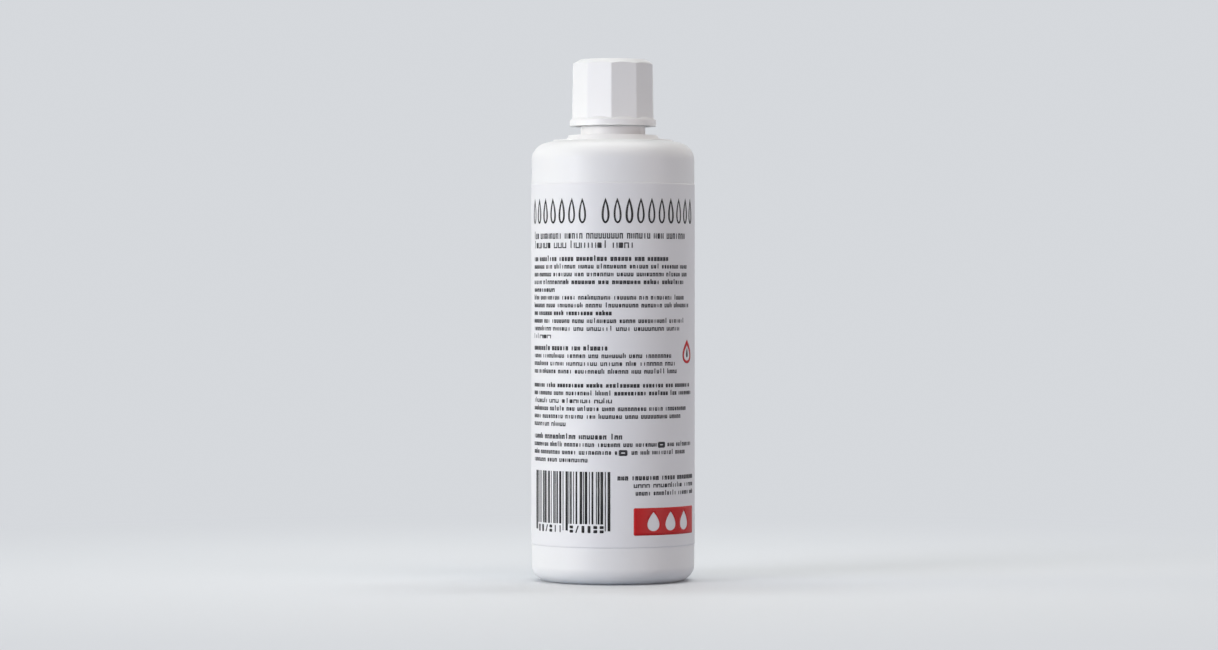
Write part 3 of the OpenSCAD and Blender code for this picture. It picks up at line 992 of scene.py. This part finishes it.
# Camera, fitted to the photograph in the photograph's pixels; the scale is that at the bottle's axis
FOCAL_PX = 4072
PHOTO_W, PHOTO_H = 1218, 650
MM_PER_PX = 0.25523
AXIS_X_PX = 613
HORIZON_Y_PX = 289.3
BASE_Y_PX = 580.3
AIM = (0, 0, 0.065)


def make_camera():
    """A look from the photograph's distance and height, tipped a little down."""
    data = bpy.data.cameras.new("camera")
    data.sensor_width = 36
    data.lens = FOCAL_PX * data.sensor_width / PHOTO_W
    data.clip_start = 0.05
    data.clip_end = 50
    camera = bpy.data.objects.new("camera", data)
    bpy.context.scene.collection.objects.link(camera)
    side = (PHOTO_W / 2 - AXIS_X_PX) * MM_PER_PX * MM
    height = (BASE_Y_PX - HORIZON_Y_PX) * MM_PER_PX * MM
    camera.location = (side, -FOCAL_PX * MM_PER_PX * MM, height)
    down = math.atan((PHOTO_H / 2 - HORIZON_Y_PX) / FOCAL_PX)
    camera.rotation_euler = (math.pi / 2 - down, 0, 0)
    bpy.context.scene.camera = camera


def area_light(name, place, size, watts, colour, aim=AIM, spread_angle=180):
    """A soft box. Places and sizes are in metres, and it points from its place to its aim."""
    data = bpy.data.lights.new(name, "AREA")
    data.shape = "RECTANGLE"
    data.size, data.size_y = size
    data.energy = watts
    data.color = colour
    data.spread = math.radians(spread_angle)
    lamp = bpy.data.objects.new(name, data)
    lamp.location = place
    lamp.rotation_euler = (Vector(aim) - Vector(place)).to_track_quat("-Z", "Y").to_euler()
    bpy.context.scene.collection.objects.link(lamp)


# What the floor and the world shed as light on the object, and what the eye sees of them
FLOOR_BOUNCE = (0.28, 0.34, 0.42)
FLOOR_SEEN = (0.8, 0.81, 0.83)
WORLD_LIGHT = (0.035, 0.037, 0.04)
WORLD_SEEN = (0.67, 0.69, 0.72)
# The floor, in metres, and the distances from the object over which it fades to the world's colour
FLOOR_FRONT, FLOOR_BACK, FLOOR_SIDE = -2.5, 1.6, 3.0
FLOOR_BEND, BEND_STEPS = 0.7, 24
BACKDROP_H = 2.4
FADE_FROM, FADE_TO = 0.08, 0.3


def seen_rays(nodes, links):
    """A socket that is 1 for what the eye sees, directly, mirrored or through something clear."""
    rays = nodes.new("ShaderNodeLightPath")
    is_seen = rays.outputs["Is Camera Ray"]
    for other in ("Is Glossy Ray", "Is Transmission Ray"):
        either = nodes.new("ShaderNodeMath")
        either.operation = "MAXIMUM"
        links.new(is_seen, either.inputs[0])
        links.new(rays.outputs[other], either.inputs[1])
        is_seen = either.outputs[0]
    return is_seen


def two_colours(nodes, links, lit, seen):
    """The colour lit for the light that a background sheds, and seen for what the eye sees of it."""
    ramp = nodes.new("ShaderNodeValToRGB")
    ramp.color_ramp.elements[0].color = (*lit, 1)
    ramp.color_ramp.elements[1].color = (*seen, 1)
    links.new(seen_rays(nodes, links), ramp.inputs["Fac"])
    return ramp.outputs["Color"]


def fade_out(nodes, links, shader):
    """Lets the floor show light and shadow round the object, and the world's colour farther off."""
    place = nodes.new("ShaderNodeNewGeometry")
    distance = nodes.new("ShaderNodeVectorMath")
    distance.operation = "LENGTH"
    links.new(place.outputs["Position"], distance.inputs[0])
    fade = nodes.new("ShaderNodeMapRange")
    fade.interpolation_type = "SMOOTHSTEP"
    fade.inputs["From Min"].default_value = FADE_FROM
    fade.inputs["From Max"].default_value = FADE_TO
    links.new(distance.outputs["Value"], fade.inputs["Value"])
    amount = nodes.new("ShaderNodeMath")
    amount.operation = "MULTIPLY"
    links.new(fade.outputs["Result"], amount.inputs[0])
    links.new(seen_rays(nodes, links), amount.inputs[1])
    glow = nodes.new("ShaderNodeEmission")
    glow.inputs["Color"].default_value = (*WORLD_SEEN, 1)
    glow.inputs["Strength"].default_value = 1
    mix = nodes.new("ShaderNodeMixShader")
    links.new(amount.outputs[0], mix.inputs["Fac"])
    links.new(shader.outputs["BSDF"], mix.inputs[1])
    links.new(glow.outputs["Emission"], mix.inputs[2])
    links.new(mix.outputs["Shader"], nodes["Material Output"].inputs["Surface"])


def make_stage():
    """A pale floor that curves up into a backdrop."""
    straight = FLOOR_BACK - FLOOR_BEND
    profile = [(FLOOR_FRONT, 0), (straight, 0)]
    for i in range(BEND_STEPS):
        a = math.pi / 2 * (i + 1) / BEND_STEPS
        profile.append((straight + FLOOR_BEND * math.sin(a), FLOOR_BEND - FLOOR_BEND * math.cos(a)))
    profile.append((FLOOR_BACK, BACKDROP_H))
    points = [(x, y, z) for y, z in profile for x in (-FLOOR_SIDE, FLOOR_SIDE)]
    faces = [(2 * i, 2 * i + 1, 2 * i + 3, 2 * i + 2) for i in range(len(profile) - 1)]
    mesh = bpy.data.meshes.new("floor")
    mesh.from_pydata(points, [], faces)
    mesh.shade_smooth()
    floor = bpy.data.objects.new("floor", mesh)
    bpy.context.scene.collection.objects.link(floor)
    material, nodes, links, shader = node_material("floor", FLOOR_SEEN, 0.6)
    links.new(two_colours(nodes, links, FLOOR_BOUNCE, FLOOR_SEEN), shader.inputs["Base Color"])
    fade_out(nodes, links, shader)
    mesh.materials.append(material)


def make_world():
    """A pale surround that adds little light of its own."""
    world = bpy.data.worlds.new("studio")
    world.use_nodes = True
    nodes, links = world.node_tree.nodes, world.node_tree.links
    background = nodes["Background"]
    background.inputs["Strength"].default_value = 1
    links.new(two_colours(nodes, links, WORLD_LIGHT, WORLD_SEEN), background.inputs["Color"])
    bpy.context.scene.world = world


black = ink("ink_black", (0.008, 0.008, 0.009), 0.6)
grey = ink("ink_grey", (0.028, 0.028, 0.032), 0.6)
red = ink("ink_red", (0.52, 0.006, 0.008), 0.88)
make_bottle(blown_plastic())
make_cap(moulded_plastic())
make_liner(foam())
make_liquid(watery())
make_label(label_film())
make_title(black)
make_text(grey)
make_bars(black)
make_red(red)

make_camera()
make_stage()
make_world()
# The lamps, fitted together to the tones of the plastic in the photograph
area_light("high key", (-1.0, -0.7, 0.75), (0.9, 0.9), 3.2, (0.75, 0.85, 1))
area_light("low key", (-1.1, -0.8, 0.22), (0.6, 0.36), 1.8, (1, 0.97, 0.99), spread_angle=70)
area_light("side", (-1.2, 0.1, 0.35), (0.5, 0.5), 0.58, (1, 0.95, 0.75), spread_angle=70)
area_light("fill", (1.2, -0.7, 0.22), (0.8, 0.36), 0.9, (1, 0.87, 0.85), spread_angle=70)
area_light("top", (0.2, -0.35, 1.3), (0.8, 0.8), 4.2, (1, 0.97, 0.89))
area_light("rim", (0.75, 0.65, 0.25), (0.3, 0.8), 0.3, (1, 0.85, 0.7))
area_light("wash", (0, 0.5, 1.9), (2.0, 0.6), 28.5, (0.97, 1, 1), (0, 1.6, 0.6))
bpy.context.scene.view_settings.view_transform = "Standard"
